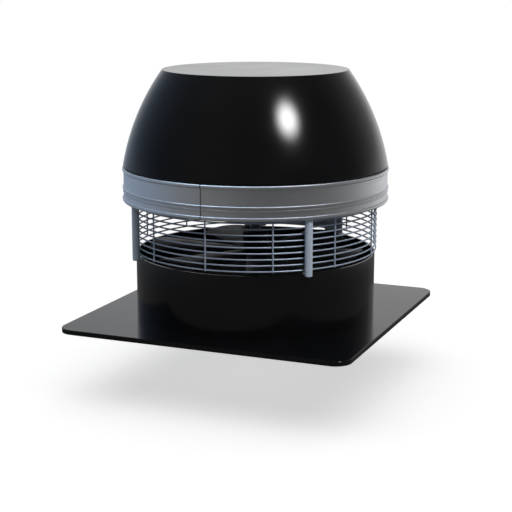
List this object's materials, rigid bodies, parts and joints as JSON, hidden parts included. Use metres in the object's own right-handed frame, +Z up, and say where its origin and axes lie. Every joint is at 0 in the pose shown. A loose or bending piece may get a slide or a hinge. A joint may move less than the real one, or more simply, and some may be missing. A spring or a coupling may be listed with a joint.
{
  "type": "chimney draught fan",
  "caption": "Chimney draught fan: domed hood and banded motor housing over a wire bird guard and axial impeller, tilting back on rear hinges above a flue collar and square base.",
  "frame": {"origin": "middle of the base plate's underside, on the flue's axis", "axes": "+Z up along the flue's axis, -Y to the fan's front with the band's seam, +Y to its rear hinges, plate sides along X and Y"},
  "size_m": [0.48, 0.48, 0.4025],
  "materials": {
    "black_coat": "gloss black powder coat",
    "band_aluminium": "rolled satin aluminium",
    "guard_wire": "drawn stainless wire",
    "rod_steel": "drawn stainless bar",
    "cast_aluminium": "as cast",
    "galvanised_sheet": "galvanised",
    "bright_steel": "zinc plated or turned",
    "lamination": "stacked electrical steel",
    "copper_winding": "varnished copper wire",
    "bronze_bush": "turned bronze",
    "gland_plastic": "moulded black"
  },
  "bodies": {
    "base": {"base_plate": "black_coat", "flue_collar": "black_coat", "hinge_lug_left": "black_coat", "hinge_lug_right": "black_coat", "hinge_pin_left": "bright_steel", "hinge_pin_right": "bright_steel", "hinge_clips": "bright_steel"},
    "fan_head": {"hood": "black_coat", "housing_band": "band_aluminium", "bird_guard": "guard_wire", "support_rod_left": "rod_steel", "support_rod_right": "rod_steel", "hinge_bracket": "rod_steel", "lower_end_shield": "cast_aluminium", "motor_frame": "cast_aluminium", "upper_end_shield": "cast_aluminium", "terminal_box": "cast_aluminium", "terminal_lid": "cast_aluminium", "motor_plate": "galvanised_sheet", "rod_screws": "bright_steel", "hood_screws": "bright_steel", "hood_nuts": "bright_steel", "motor_bolts": "bright_steel", "lower_bearing": "bright_steel", "upper_bearing": "bright_steel", "stator_core": "lamination", "stator_windings": "copper_winding", "hinge_bushes": "bronze_bush", "cable_gland": "gland_plastic", "hood_gasket": "gland_plastic"},
    "impeller": {"impeller": "cast_aluminium", "drive_shaft": "bright_steel", "drive_key": "bright_steel", "rotor_core": "lamination", "hub_washer": "bright_steel", "hub_bolt": "bright_steel"}
  },
  "joints": [
    {"name": "head_tilt", "type": "hinge", "parent": "base", "child": "fan_head", "pos_m": [0, 0.205, 0.0935], "axis": [-1, 0, 0], "range_deg": [0, 90]},
    {"name": "impeller_spin", "type": "hinge", "parent": "fan_head", "child": "impeller", "pos_m": [0, 0, 0.1055], "axis": [0, 0, 1], "continuous": true}
  ]
}
